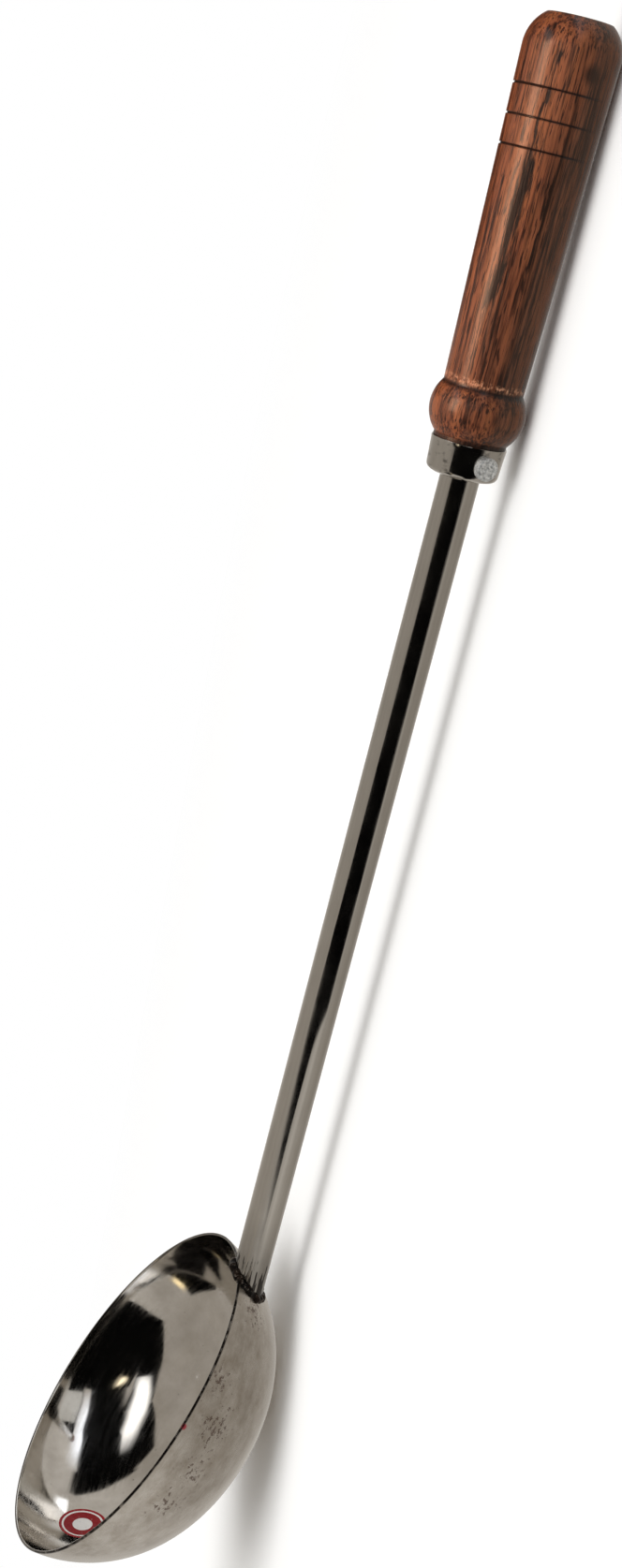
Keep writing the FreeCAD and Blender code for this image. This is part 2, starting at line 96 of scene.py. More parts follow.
round_x, round_z = shaft_point(GRIP_TOP_AT, GRIP_TOP - SHOULDER_ARC)
span = math.hypot(round_x - SIDE_X, round_z - SIDE_Z)
rise = math.atan2(round_z - SIDE_Z, round_x - SIDE_X)
TILT = rise + math.asin((SIDE - SHOULDER_ARC) / span)
side_up = SIDE_Z * math.cos(TILT) - SIDE_X * math.sin(TILT)
near_end = -SIDE_X * math.cos(TILT) + SIDE_Z * math.sin(TILT) - SIDE
butt_x, butt_z = shaft_point(BUTT, 0)
far_end = butt_x * math.cos(TILT) + butt_z * math.sin(TILT)
METRES = Matrix.Scale(0.001, 4)
BOWL = METRES @ moved(-(near_end + far_end) / 2, 0, SIDE - side_up) @ tipped(TILT)
SHAFT_POSE = BOWL @ moved(RIM, 0, -SHAFT_DROP) @ tipped(math.pi / 2 - SHAFT)
print("tilt of the rim plane, degrees:", round(math.degrees(TILT), 3))

# %% [markdown]
# A turned or drawn piece is an outline carried round an axis. The outline is worked out as
# whole arrays from straight runs and arcs, and one function turns it into a closed mesh.
# Each vertex keeps its place in the piece's own frame, in millimetres, as an attribute, so
# grain and polish lines run along the piece and their scale is a real size.

# %% Outlines and meshes


def run(start, end, steps=2):
    """Evenly spaced points on a straight line, both ends included."""
    share = np.linspace(0, 1, steps)[:, None]
    return np.array(start) * (1 - share) + np.array(end) * share


def bend(centre, radius, start, end, steps=24):
    """Evenly spaced points on an arc: centre plus radius times cosine and sine."""
    angle = np.linspace(start, end, steps)
    return np.array(centre) + radius * np.c_[np.cos(angle), np.sin(angle)]


def outline(*stretches):
    """Joins stretches end to end and drops a point that repeats the one before."""
    points = np.concatenate(stretches)
    step = np.linalg.norm(np.diff(points, axis=0), axis=1)
    return points[np.r_[True, step > 1e-6]]


def turned(points, around=192):
    """Carries (radius, height) points round the axis: x = r cos a, y = r sin a, z = height."""
    angle = np.linspace(0, 2 * math.pi, around, endpoint=False)
    r, z = points[:, :1], points[:, 1:]
    return np.stack([r * np.cos(angle), r * np.sin(angle), z + 0 * angle], axis=2)


def skin(name, rows, pose, body="root", ring=False, caps=(False, False), crease=35):
    """Puts rows of points (row, place round, xyz) into a mesh. The places round always close.
    ring joins the last row to the first. caps closes the first or last row with one middle
    point. Faces are turned outwards by the sign of the volume that they enclose."""
    count, around = rows.shape[:2]
    index = np.arange(count * around).reshape(count, around)
    below = index if ring else index[:-1]
    above = np.roll(index, -1, axis=0) if ring else index[1:]
    beside, opposite = np.roll(below, -1, axis=1), np.roll(above, -1, axis=1)
    quads = np.stack([below, beside, opposite, above], axis=-1).reshape(-1, 4)
    points = [rows.reshape(-1, 3)]
    fans = []
    for wanted, edge in zip(caps, (index[0][::-1], index[-1])):
        if wanted:
            middle = count * around + len(points) - 1
            points.append(rows.reshape(-1, 3)[edge].mean(axis=0)[None])
            fans.append(np.stack([edge, np.roll(edge, -1), np.full(around, middle)], axis=-1))
    points = np.concatenate(points)
    corners = np.concatenate([quads[:, [0, 1, 2]], quads[:, [0, 2, 3]], *fans])
    a, b, c = points[corners[:, 0]], points[corners[:, 1]], points[corners[:, 2]]
    if np.einsum("ij,ij->i", a, np.cross(b, c)).sum() < 0:
        quads = quads[:, ::-1]
        fans = [fan[:, ::-1] for fan in fans]
    faces = quads.tolist() + [face for fan in fans for face in fan.tolist()]
    matrix = np.array(pose)
    placed = points @ matrix[:3, :3].T + matrix[:3, 3]
    mesh = bpy.data.meshes.new(name)
    mesh.from_pydata(placed.tolist(), [], faces)
    own = mesh.attributes.new("own_place", "FLOAT_VECTOR", "POINT")
    own.data.foreach_set("vector", points.astype(np.float32).ravel())
    mesh.polygons.foreach_set("use_smooth", np.ones(len(faces), dtype=bool))
    mesh.set_sharp_from_angle(angle=math.radians(crease))
    piece = bpy.data.objects.new(name, mesh)
    bpy.context.scene.collection.objects.link(piece)
    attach(piece, body)
    print(f"{name}: {len(points)} points, {len(faces)} faces")
    return piece


quarter = bend((0, 0), 1, 0, math.pi / 2)
drawn = np.linalg.norm(np.diff(quarter, axis=0), axis=1).sum()
print("a drawn quarter circle's length as a share of the true one:", round(drawn / (math.pi / 2), 5))

# %% [markdown]
# The bowl is one disc of stainless sheet pressed into two arcs, a shallow bottom and a tighter
# side, and its edge is cut and rubbed smooth. It shines like a mirror, so every facet would
# show: it is drawn afresh as a fine turned skin on the same arcs as the construction.

# %% Bowl


def bowl_side(inset, steps=90):
    """The wall from bottom to rim, set in by inset: a crown arc and then a side arc."""
    down = -math.pi / 2
    return outline(
        bend((0, CROWN_Z), CROWN - inset, down + 0.004, down + BLEND, steps // 2),
        bend((SIDE_X, SIDE_Z), SIDE - inset, down + BLEND, -DRAFT, steps),
    )


middle = SIDE - SHEET / 2
edge = (SIDE_X + middle * math.cos(DRAFT), SIDE_Z - middle * math.sin(DRAFT))
bowl_outline = outline(
    bowl_side(0),
    bend(edge, SHEET / 2, -DRAFT, math.pi - DRAFT, 9),
    bowl_side(SHEET)[::-1],
)
bowl = skin("bowl_polished", turned(bowl_outline, 256), BOWL, caps=(True, True))
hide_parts("bowl")

# %% [markdown]
# The shaft is drawn tube. Its lower end is filed to the bowl's round side, so each line along
# the tube starts where it meets that side. There is no short formula for that place, so it is
# found for all lines at once by halving a range again and again, as the construction does.

# %% Shaft tube


def seam(angle, radius=TUBE):
    """How far along the shaft the lines at these angles meet the bowl's side: the point whose
    distance from the ring of the side arc's centres is the arc's radius."""
    low, high = np.full_like(angle, -2 * TUBE), np.full_like(angle, 2 * TUBE)
    for _ in range(24):
        half = (low + high) / 2
        x, z = shaft_point(half, radius * np.cos(angle))
        reach = np.hypot(np.hypot(x, radius * np.sin(angle)) - SIDE_X, z - SIDE_Z)
        low, high = np.where(reach < SIDE, half, low), np.where(reach < SIDE, high, half)
    return low


def tube_wall(radius, steps=120, around=128):
    """A straight wall from the filed end to the hidden end. A row's place between them is the
    square of its share of the count, so that rows are closer together at first."""
    angle = np.linspace(0, 2 * math.pi, around, endpoint=False)
    share = np.linspace(0, 1, steps)[:, None] ** 2
    along = (seam(angle, radius) + ROOT_GAP) * (1 - share) + TUBE_END * share
    x = radius * np.cos(angle) + 0 * share
    y = radius * np.sin(angle) + 0 * share
    return np.stack([x, y, along], axis=2)


tube_rows = np.concatenate([tube_wall(TUBE), tube_wall(TUBE - TUBE_WALL)[::-1]])
tube = skin("shaft_drawn", tube_rows, SHAFT_POSE, ring=True)
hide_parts("shaft_tube")

# %% [markdown]
# The weld is a bead laid by hand: puddles that overlap, freeze one after another and leave
# ripples, with spatter and scale on top. Its middle line is the seam. A ring is carried along
# that line, and its thickness swells and shrinks with the puddles and with finer lumps.

# %% Weld bead
BEAD, PUDDLES, PUDDLE_RISE, LUMP_RISE = 1.5, 16, 0.45, 0.2
UNDERSIDE_LOSS, BEAD_SHIFT = 0.45, 0.3


def lumps(around, section, amount, waves, seed):
    """A sum of sines with random phases and whole numbers of waves, so that it closes."""
    random = np.random.default_rng(seed)
    total = 0
    for _ in range(waves):
        n, m = random.integers(2, 19), random.integers(-4, 5)
        total = total + np.sin(n * around + m * section + random.uniform(0, 2 * math.pi))
    return amount * total / math.sqrt(waves)


def weld_rows(around_steps=240, section_steps=40):
    """A ring about the seam. Its thickness is the bead's, plus the size of a sine for the
    puddles, plus the lumps, less a squared cosine at the underside, where less was laid."""
    around = np.linspace(0, 2 * math.pi, around_steps, endpoint=False)[:, None]
    section = np.linspace(0, 2 * math.pi, section_steps, endpoint=False)[None]
    puddle = PUDDLE_RISE * np.abs(np.sin(PUDDLES / 2 * around + 0.6 * np.sin(3 * around)))
    thin = UNDERSIDE_LOSS * (0.5 + 0.5 * np.cos(around)) ** 2
    thick = BEAD - thin + puddle + lumps(around, section, LUMP_RISE, 9, 3) + 0 * section
    out = TUBE + thick * np.cos(section)
    along = seam(around[:, 0])[:, None] + BEAD_SHIFT + thick * np.sin(section)
    return np.stack([out * np.cos(around), out * np.sin(around), along], axis=2)


weld = skin("weld_laid", weld_rows(), SHAFT_POSE, ring=True, crease=80)
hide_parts("weld_bead")

# %% [markdown]
# The ferrule is a shallow pressed cup with a hole in its floor for the tube. The floor faces
# the bowl, its corner is round, and its open lip holds the wood.

# %% Ferrule
corner = (FERRULE_FOOT - FERRULE_CORNER, FERRULE + FERRULE_CORNER)
lip = FERRULE + FERRULE_HEIGHT
down = -math.pi / 2
soften = 0.18
ferrule_outline = outline(
    run((TUBE + GAP, FERRULE), (corner[0], FERRULE), 6),
    bend(corner, FERRULE_CORNER, down, 0, 14),
    run((FERRULE_FOOT, corner[1]), (FERRULE_LIP, lip - soften), 8),
    bend((FERRULE_LIP - soften, lip - soften), soften, 0, math.pi / 2, 5),
    run((FERRULE_LIP - FERRULE_WALL, lip), (FERRULE_FOOT - FERRULE_WALL, corner[1]), 4),
    bend(corner, FERRULE_CORNER - FERRULE_WALL, 0, down, 8),
    run((corner[0], FERRULE + FERRULE_WALL), (TUBE + GAP, FERRULE + FERRULE_WALL), 3),
)
ferrule = skin("ferrule_pressed", turned(ferrule_outline, 160), SHAFT_POSE, ring=True)
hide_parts("ferrule")

# %% [markdown]
# The handle is turned from one stick: a tenon that sits in the ferrule, a neck, a ball, a grip
# that swells towards the butt, and a rounded shoulder. Three lines are scribed round the grip
# with the wood running slightly out of true, so they are deep on one side and fade out on the
# other. Their bottoms get painted shade, a dark line by the cut's depth, which is kept as an
# attribute for the wood's material.

# %% Handle
ball = (BALL - BALL_ARC, BALL_AT)
ball_from = -math.acos((NECK - ball[0]) / BALL_ARC)
ball_to = math.acos((GRIP_FOOT - ball[0]) / BALL_ARC)
shoulder = (GRIP_TOP - SHOULDER_ARC, GRIP_TOP_AT)
butt_turn = math.asin((BUTT - GRIP_TOP_AT) / SHOULDER_ARC)
inside = GAP + FERRULE_WALL
low, seat = FERRULE + inside, lip + GAP
grip_low = BALL_AT + BALL_ARC * math.sin(ball_to)
lines_from = LINES_AT[-1] - 2
lines_to = LINES_AT[0] + 2
slope = (GRIP_TOP - GRIP_FOOT) / (GRIP_TOP_AT - grip_low)


def on_grip(along):
    """A point of the grip's straight side: its radius grows evenly with the height."""
    return (GRIP_FOOT + slope * (along - grip_low), along)


handle_outline = outline(
    run((0.4, TUBE_END + 2), (TUBE + GAP, TUBE_END + 2)),
    run((TUBE + GAP, TUBE_END + 2), (TUBE + GAP, low), 4),
    run((TUBE + GAP, low), (FERRULE_FOOT - inside - 1.6, low)),
    run((FERRULE_FOOT - inside - 1.6, low), (FERRULE_FOOT - inside, low + 1.6)),
    run((FERRULE_FOOT - inside, low + 1.6), (FERRULE_LIP - inside, seat), 4),
    run((FERRULE_LIP - inside, seat), (NECK, seat)),
    bend(ball, BALL_ARC, ball_from, ball_to, 44),
    run(on_grip(grip_low), on_grip(lines_from), 60),
    run(on_grip(lines_from), on_grip(lines_to), 170),
    run(on_grip(lines_to), (GRIP_TOP, GRIP_TOP_AT), 12),
    bend(shoulder, SHOULDER_ARC, 0, butt_turn, 24),
    run((shoulder[0] + SHOULDER_ARC * math.cos(butt_turn), BUTT), (0.4, BUTT), 10),
)


GROOVE_RISE, SHADE_DEPTH, SHADE_SHIFT, SHADE_SPREAD = 0.75, 0.12, 0.1, 0.85


def scribed(rows):
    """Cuts the lines and returns their painted shade. Inside a line's width the radius is the
    smaller of the wood's and the cut's. The cut's is a circle off centre, and its floor rises to
    both sides with the square of the distance. The painted shade is a bell curve across the line,
    by the cut's depth."""
    radius = np.hypot(rows[..., 0], rows[..., 1])
    angle = np.arctan2(rows[..., 1], rows[..., 0])
    result, line_shade = radius.copy(), 0 * radius
    for at, floor in zip(LINES_AT, LINE_FLOORS):
        bottom = LINE_OFFSET * np.cos(angle) + np.sqrt(floor**2 - (LINE_OFFSET * np.sin(angle)) ** 2)
        side = (rows[..., 2] - at) / (LINE_WIDTH / 2)
        cut = bottom + GROOVE_RISE * side**2
        across = np.exp(-(((side - SHADE_SHIFT) / SHADE_SPREAD) ** 2))
        # painted shade: each line is darkened by how deep its cut is
        line_shade += np.clip((radius - bottom) / SHADE_DEPTH, 0, 1) * across
        result = np.where(np.abs(side) < 1.2, np.minimum(result, cut), result)
    scale = np.where(radius > 1e-6, result / np.maximum(radius, 1e-6), 1)
    rows[..., :2] *= scale[..., None]
    return line_shade


handle_rows = turned(handle_outline, 224)
painted_line_shade = scribed(handle_rows)
handle = skin("handle_turned", handle_rows, SHAFT_POSE, caps=(True, True), crease=40)
# the lines' painted shade is kept as an attribute for the wood's material
line_shade = handle.data.attributes.new("painted_line_shade", "FLOAT", "POINT")
line_shade.data.foreach_set("value", np.r_[painted_line_shade.ravel(), 0, 0].astype(np.float32))
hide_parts("handle")
print("points with dirt in the scribed lines:", int((painted_line_shade > 0.2).sum()))

# %% [markdown]
# The cross rivet is soft pale metal, headed over with a hammer, so its face is a field of small
# dents inside a slightly proud edge. The face is a grid in polar form, and its height is a sum
# of waves that dies out towards the rim.

# %% Cross rivet
DENT, DENT_SINK = 0.017, 0.12
TO_NEAR = Vector((math.sin(RIVET_DIP), -math.cos(RIVET_DIP), 0))


def rivet_pose(side):
    """A frame on the rivet with +Z out of the head on that side of the shaft."""
    out = TO_NEAR * side
    up = Vector((0, 0, 1))
    turn = Matrix((up.cross(out).normalized(), up, out)).transposed().to_4x4()
    return SHAFT_POSE @ moved(0, 0, RIVET_AT) @ turn


def rivet_rows(seed, rings=46, around=128):
    """From the back edge up the side, over a round edge and across the face. The face's height
    is a sum of sines in random headings, faded out over the last 0.9 mm to the edge."""
    half = RIVET_SPAN / 2
    soft = 0.55
    back = half - RIVET_THICK + 0.2
    side = outline(
        run((RIVET_HEAD * 0.55, back), (RIVET_HEAD, back), 3),
        run((RIVET_HEAD, back), (RIVET_HEAD, half - soft), 6),
        bend((RIVET_HEAD - soft, half - soft), soft, 0, math.pi / 2, 8),
    )
    face = run((RIVET_HEAD - soft, half), (0.05, half), rings)
    rows = turned(outline(side, face), around)
    x, y = rows[..., 0], rows[..., 1]
    random = np.random.default_rng(seed)
    dents = 0
    for _ in range(26):
        heading = random.uniform(0, 2 * math.pi)
        pitch = random.uniform(0.8, 2.4)
        wave = 2 * math.pi / pitch * (x * math.cos(heading) + y * math.sin(heading))
        dents = dents + np.sin(wave + random.uniform(0, 2 * math.pi)) * pitch
    radius = np.hypot(x, y)
    on_face = (rows[..., 2] > half - 0.3) * np.clip((RIVET_HEAD - radius) / 0.9, 0, 1)
    rows[..., 2] += on_face * (DENT * dents - DENT_SINK)
    return rows


for side, seed, name in ((1, 11, "rivet_head_near"), (-1, 12, "rivet_head_far")):
    head = skin(name, rivet_rows(seed), rivet_pose(side), caps=(True, True), crease=50)
    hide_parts("cross_rivet")

# %% [markdown]
# A round paper sticker is still stuck inside the bowl, close to the edge that is furthest from
# the handle. It follows the bowl's inside, so its points are laid out flat first. Then one axis
# is bent with the side arc, and the other is carried round the bowl.

# %% Sticker
STICKER_RADIUS, STICKER_LIFT = 8.9, 0.09
STICKER_HEADING, STICKER_DROP = math.radians(189), math.radians(36)


def sticker_rows(rings=24, around=96):
    """A disc in polar form, wrapped on the inner side arc: one axis bends with the arc, the
    other goes round the bowl, and a second layer below it gives the paper its thickness."""
    angle = np.linspace(0, 2 * math.pi, around, endpoint=False)
    radius = np.r_[np.linspace(0.15, 1, rings), np.linspace(1, 0.15, rings)][:, None]
    lift = np.r_[np.full(rings, STICKER_LIFT), np.full(rings, 0.01)][:, None]
    u = STICKER_RADIUS * radius * np.cos(angle)
    v = STICKER_RADIUS * radius * np.sin(angle)
    reach = SIDE - SHEET - lift
    below = STICKER_DROP + u / (SIDE - SHEET)
    out = SIDE_X + reach * np.cos(below)
    heading = STICKER_HEADING + v / (SIDE_X + (SIDE - SHEET) * math.cos(STICKER_DROP))
    z = SIDE_Z - reach * np.sin(below)
    return np.stack([out * np.cos(heading), out * np.sin(heading), z], axis=2), radius + 0 * u


rows, share = sticker_rows()
sticker = skin("round_sticker", rows, BOWL, caps=(True, True), crease=60)
spread = sticker.data.attributes.new("from_middle", "FLOAT", "POINT")
spread.data.foreach_set("value", np.r_[share.ravel(), 0, 0].astype(np.float32))

# %% [markdown]
# Colours are written as they look on a screen and turned to the linear values that the
# renderer works in. One small function adds a shader node with its settings and links, and a
# few more name the steps that every finish here uses: a noise, a range, a mix and a band.

# %% Colour and node helpers


def hex_colour(text):
    """An sRGB hex colour as linear red, green, blue and alpha."""
    value = np.array([int(text[i : i + 2], 16) for i in (1, 3, 5)]) / 255
    linear = np.where(value <= 0.04045, value / 12.92, ((value + 0.055) / 1.055) ** 2.4)
    return (*linear.tolist(), 1.0)


def add(tree, kind, inputs=(), **settings):
    """Adds a node. inputs pairs a socket's name or number with a value or another socket."""
    node = tree.nodes.new(kind)
    for name, value in settings.items():
        setattr(node, name, value)
    for name, value in dict(inputs).items():
        if isinstance(value, bpy.types.NodeSocket):
            tree.links.new(value, node.inputs[name])
        else:
            node.inputs[name].default_value = value
    return node


def new_material(name):
    """An empty node material and its tree."""
    material = bpy.data.materials.new(name)
    material.use_nodes = True
    tree = material.node_tree
    tree.nodes.clear()
    print("finish:", name)
    return material, tree


def own_place(tree, stretch=(1, 1, 1)):
    """The piece's own millimetres, each axis divided by the size that a pattern has there."""
    place = add(tree, "ShaderNodeAttribute", attribute_name="own_place")
    scale = tuple(1 / size for size in stretch)
    return add(tree, "ShaderNodeMapping", {0: place.outputs["Vector"], "Scale": scale}).outputs[0]


def own_axes(tree):
    """The piece's own x, y and z in millimetres, as three sockets."""
    return add(tree, "ShaderNodeSeparateXYZ", {0: own_place(tree)}).outputs


def noise(tree, sizes, detail=3.0, rough=0.5, twist=0.0):
    """Cloudy noise from about 0.3 to 0.7, whose grain has the given size along each axis."""
    inputs = {"Vector": own_place(tree, sizes), "Scale": 1.0, "Detail": detail}
    inputs.update({"Roughness": rough, "Distortion": twist})
    return add(tree, "ShaderNodeTexNoise", inputs).outputs["Fac"]


def between(tree, value, low, high, start=0.0, end=1.0):
    """Maps a value from one range to another and stops at the ends."""
    inputs = {0: value, 1: low, 2: high, 3: start, 4: end}
    return add(tree, "ShaderNodeMapRange", inputs).outputs[0]


def calculate(tree, operation, first, second=0.0):
    """One step of arithmetic on values or sockets, such as ADD, MAXIMUM or ABSOLUTE."""
    return add(tree, "ShaderNodeMath", {0: first, 1: second}, operation=operation).outputs[0]


def blend(tree, share, first, second):
    """Mixes two colours, given as hex text or as sockets, by a share from 0 to 1."""
    ends = [hex_colour(end) if isinstance(end, str) else end for end in (first, second)]
    inputs = {0: share, 6: ends[0], 7: ends[1]}
    return add(tree, "ShaderNodeMix", inputs, data_type="RGBA").outputs[2]


def ridge(tree, value, centre, half):
    """1 where a value is at the centre, falling evenly to 0 at half a width from it."""
    off = calculate(tree, "ABSOLUTE", calculate(tree, "SUBTRACT", value, centre))
    return between(tree, off, 0.0, half, 1.0, 0.0)


def near(tree, centre, reach):
    """1 at a point of the piece, falling evenly to 0 at the given distance from it."""
    away = add(tree, "ShaderNodeVectorMath", {0: own_place(tree), 1: centre}, operation="DISTANCE")
    return between(tree, away.outputs["Value"], 0.0, reach, 1.0, 0.0)


def relief(tree, height, depth, strength=1.0, under=None):
    """A bump of the given depth in metres, over another one where there is one."""
    inputs = {"Height": height, "Distance": depth, "Strength": strength}
    if under is not None:
        inputs["Normal"] = under
    return add(tree, "ShaderNodeBump", inputs).outputs[0]


def principled(tree, **inputs):
    """Ends a material in one Principled shader. An underscore in a name stands for a space."""
    named = {name.replace("_", " "): value for name, value in inputs.items()}
    finish_material(tree, add(tree, "ShaderNodeBsdfPrincipled", named))


def finish_material(tree, shader):
    """Leads a shader to the material's surface."""
    add(tree, "ShaderNodeOutputMaterial", {"Surface": shader.outputs[0]})


print("half way up the screen's scale is this much light:", round(hex_colour("#808080")[0], 3))


# %% [markdown]
# Stainless steel sheet, pressed and buffed: a mirror with faint swirls, shallow waves that
# make straight reflections wander, and a warm grey colour. Outside, the polish is duller. Small
# brown specks of rust and grease gather there in patches. A dark grey line runs along the cut
# rim, inside and out: partly old polish and grime, partly a painted dark reflection of the
# rounded edge. A speck of red paint is left just under the rim.

# %% Buffed stainless steel for the bowl
SPECK_PATCHES = (
    ((48, -42, -4), 12),
    ((37, -50, -12), 15),
    ((23, -56, -15), 13),
    ((61, -12, -9), 14),
    ((9, -61, -13), 11),
)
RED_SPECK = (34.1, -55.3, -0.2)


def bowl_inside():
    """Mirror polish: swirls in the shine, shallow waves, dark pits, and a dark line at the rim
    that is partly grime and partly painted reflection.
    """
    material, tree = new_material("stainless_buffed_inside")
    waves = noise(tree, (26, 26, 26), 1.5)
    swirls = noise(tree, (9, 9, 0.8), 4.0)
    haze = noise(tree, (13, 13, 13), 5.0, 0.6)
    pits = between(tree, noise(tree, (0.9, 0.9, 0.9), 1.0), 0.775, 0.8, 0.0, 0.75)
    # partly grime, partly painted reflection: the inside of the rounded rim is darkened
    rim = between(tree, own_axes(tree)[2], 0.2, 0.45, 0.0, 0.7)
    tone = blend(tree, between(tree, haze, 0.35, 0.65), "#C3BEB6", "#D6D2CC")
    marked = blend(tree, calculate(tree, "MAXIMUM", pits, rim), tone, "#2B2622")
    fine = relief(tree, swirls, 0.0001, 0.05)
    principled(
        tree,
        Base_Color=marked,
        Metallic=1.0,
        Roughness=between(tree, swirls, 0.35, 0.7, 0.05, 0.13),
        Normal=relief(tree, waves, 0.0005, 1.0, fine),
    )
    return material


def specks(tree):
    """Brown dots: a fine noise passes its threshold only where a patch lifts it."""
    patch = near(tree, SPECK_PATCHES[0][0], SPECK_PATCHES[0][1])
    for place, reach in SPECK_PATCHES[1:]:
        patch = calculate(tree, "MAXIMUM", patch, near(tree, place, reach))
    fine = noise(tree, (2.1, 2.1, 1.6), 5.0, 0.7)
    lifted = calculate(tree, "ADD", fine, calculate(tree, "MULTIPLY", patch, 0.22))
    return between(tree, lifted, 0.68, 0.75, 0.0, 0.85)


def rim_grime_and_reflection(tree):
    """A thin dark line at the cut edge, partly grime and partly painted reflection, broken up by
    a noise as fine as the grime.
    """
    # partly grime, partly painted reflection: a dark line on the rounded cut edge
    line = between(tree, own_axes(tree)[2], -0.45, -0.05)
    broken = between(tree, noise(tree, (4, 4, 4), 5.0, 0.7), 0.36, 0.52, 0.5, 1.0)
    return calculate(tree, "MULTIPLY", line, broken)


def bowl_outside():
    """Duller steel: cloudy tone, scuffs round the bowl, specks, a red speck, and the rim's dark
    line of grime and painted reflection.
    """
    material, tree = new_material("stainless_worn_outside")
    waves = noise(tree, (18, 18, 18), 2.0)
    clouds = noise(tree, (8, 8, 6), 6.0, 0.68)
    scuffs = noise(tree, (16, 16, 0.5), 3.0, 0.6)
    tone = blend(tree, between(tree, clouds, 0.33, 0.67), "#AFA79C", "#D3CEC7")
    scuffed = blend(tree, between(tree, scuffs, 0.55, 0.72, 0.0, 0.3), tone, "#E0DCD6")
    spotted = blend(tree, specks(tree), scuffed, "#554033")
    painted = blend(tree, between(tree, near(tree, RED_SPECK, 1.5), 0.1, 0.5), spotted, "#C2505C")
    principled(
        tree,
        Base_Color=blend(tree, rim_grime_and_reflection(tree), painted, "#241F1C"),
        Metallic=between(tree, specks(tree), 0.0, 1.0, 1.0, 0.6),
        Roughness=between(tree, clouds, 0.35, 0.65, 0.17, 0.3),
        Normal=relief(tree, waves, 0.0003),
    )
    return material


def side_of_wall(piece):
    """True for faces on the hollow side: their outward normal points at the bowl's opening."""
    count = len(piece.data.polygons)
    centres, normals = np.empty(count * 3), np.empty(count * 3)
    piece.data.polygons.foreach_get("center", centres)
    piece.data.polygons.foreach_get("normal", normals)
    focus = np.array(BOWL @ Vector((0, 0, 20)))
    towards = focus - centres.reshape(-1, 3)
    return np.einsum("ij,ij->i", towards, normals.reshape(-1, 3)) > 0


bowl.data.materials.append(bowl_outside())
bowl.data.materials.append(bowl_inside())
bowl.data.polygons.foreach_set("material_index", side_of_wall(bowl).astype(np.int32))

# %% [markdown]
# The tube is drawn stainless: fine lines run along it, and the weld's heat left a dark, smoky
# stain near its lower end that runs up the drawing lines in points. The ferrule has the same
# metal with a few darker patches.

# %% Drawn stainless steel for the tube and the ferrule


def drawn_steel(name, dark_marks):
    """Steel with lines along the piece. dark_marks is the function that darkens it in places."""
    material, tree = new_material(name)
    lines = noise(tree, (0.9, 0.9, 60), 3.0)
    clouds = noise(tree, (5, 5, 12), 4.0)
    tone = blend(tree, clouds, "#B5B0A9", "#C8C4BD")
    principled(
        tree,
        Base_Color=blend(tree, dark_marks(tree, clouds), tone, "#17120F"),
        Metallic=1.0,
        Roughness=between(tree, clouds, 0.3, 0.7, 0.1, 0.2),
        Normal=relief(tree, lines, 0.0001, 0.25),
    )
    return material


def weld_soot(tree, clouds):
    """Black at the weld, in points that follow a noise stretched along the tube, then smoke."""
    along = own_axes(tree)[2]
    points = between(tree, noise(tree, (1.3, 1.3, 14), 3.0), 0.4, 0.62, -5.0, 9.0)
    reach = calculate(tree, "SUBTRACT", along, points)
    black = between(tree, reach, 1.0, 4.0, 0.92, 0.0)
    smoke = calculate(tree, "MULTIPLY", clouds, between(tree, along, 4.0, 30.0, 0.75, 0.0))
    return calculate(tree, "MAXIMUM", black, smoke)


def dark_patches(tree, clouds):
    """A few dark patches, a few millimetres across."""
    return between(tree, noise(tree, (3, 3, 2), 4.0), 0.55, 0.7, 0.0, 0.6)


tube.data.materials.append(drawn_steel("stainless_drawn_tube", weld_soot))
ferrule.data.materials.append(drawn_steel("stainless_pressed_cup", dark_patches))

# %% [markdown]
# The weld was never cleaned: black scale and brown burnt flux lie over bright metal, which
# shows only where the lumps stand proud.

# %% Burnt weld metal


def burnt_weld():
    """Black and brown scale with bright metal where a fine noise is high."""
    material, tree = new_material("weld_metal_burnt")
    grain = noise(tree, (1.4, 1.4, 1.4), 6.0, 0.7)
    scale = blend(tree, between(tree, noise(tree, (3, 3, 3), 2.0), 0.4, 0.6), "#0E0B0A", "#2E2119")
    principled(
        tree,
        Base_Color=blend(tree, between(tree, grain, 0.56, 0.66), scale, "#A79C90"),
        Metallic=0.8,
        Roughness=0.34,
        Normal=relief(tree, grain, 0.0007),
    )
    return material


weld.data.materials.append(burnt_weld())

# %% [markdown]
# The rivet is pale aluminium wire. Its hammered face is dull in the dents and brighter on the
# ridges between them, with a little grime.

# %% Hammered aluminium


def hammered_aluminium():
    """Pale metal whose tone and bump come from the same fine grime."""
    material, tree = new_material("aluminium_hammered")
    grime = noise(tree, (0.9, 0.9, 0.9), 5.0, 0.65)
    principled(
        tree,
        Base_Color=blend(tree, between(tree, grime, 0.35, 0.62), "#A2A4A3", "#F0F1F0"),
        Metallic=0.7,
        Roughness=0.36,
        Normal=relief(tree, grime, 0.0003, 0.8),
    )
    return material


rivet_metal = hammered_aluminium()
for name in ("rivet_head_near", "rivet_head_far"):
    bpy.data.objects[name].data.materials.append(rivet_metal)

# %% [markdown]
# The handle is an open-pored tropical hardwood, like sheesham, turned and waxed. Broad bands of
# red and brown follow the grain and fine pores show as short dark dashes. One dark vein wanders
# down the side, thinner veins run beside it, and there is a small dark knot near the butt. The
# wax gives a satin shine. Where the tool left the ball it tore the grain, and pale fibres lie
# there. The corner beside them, the neck at the ferrule and the scribed lines get painted shade,
# and the side towards the table is browner and darker, partly in its own tone and partly as
# painted shade.

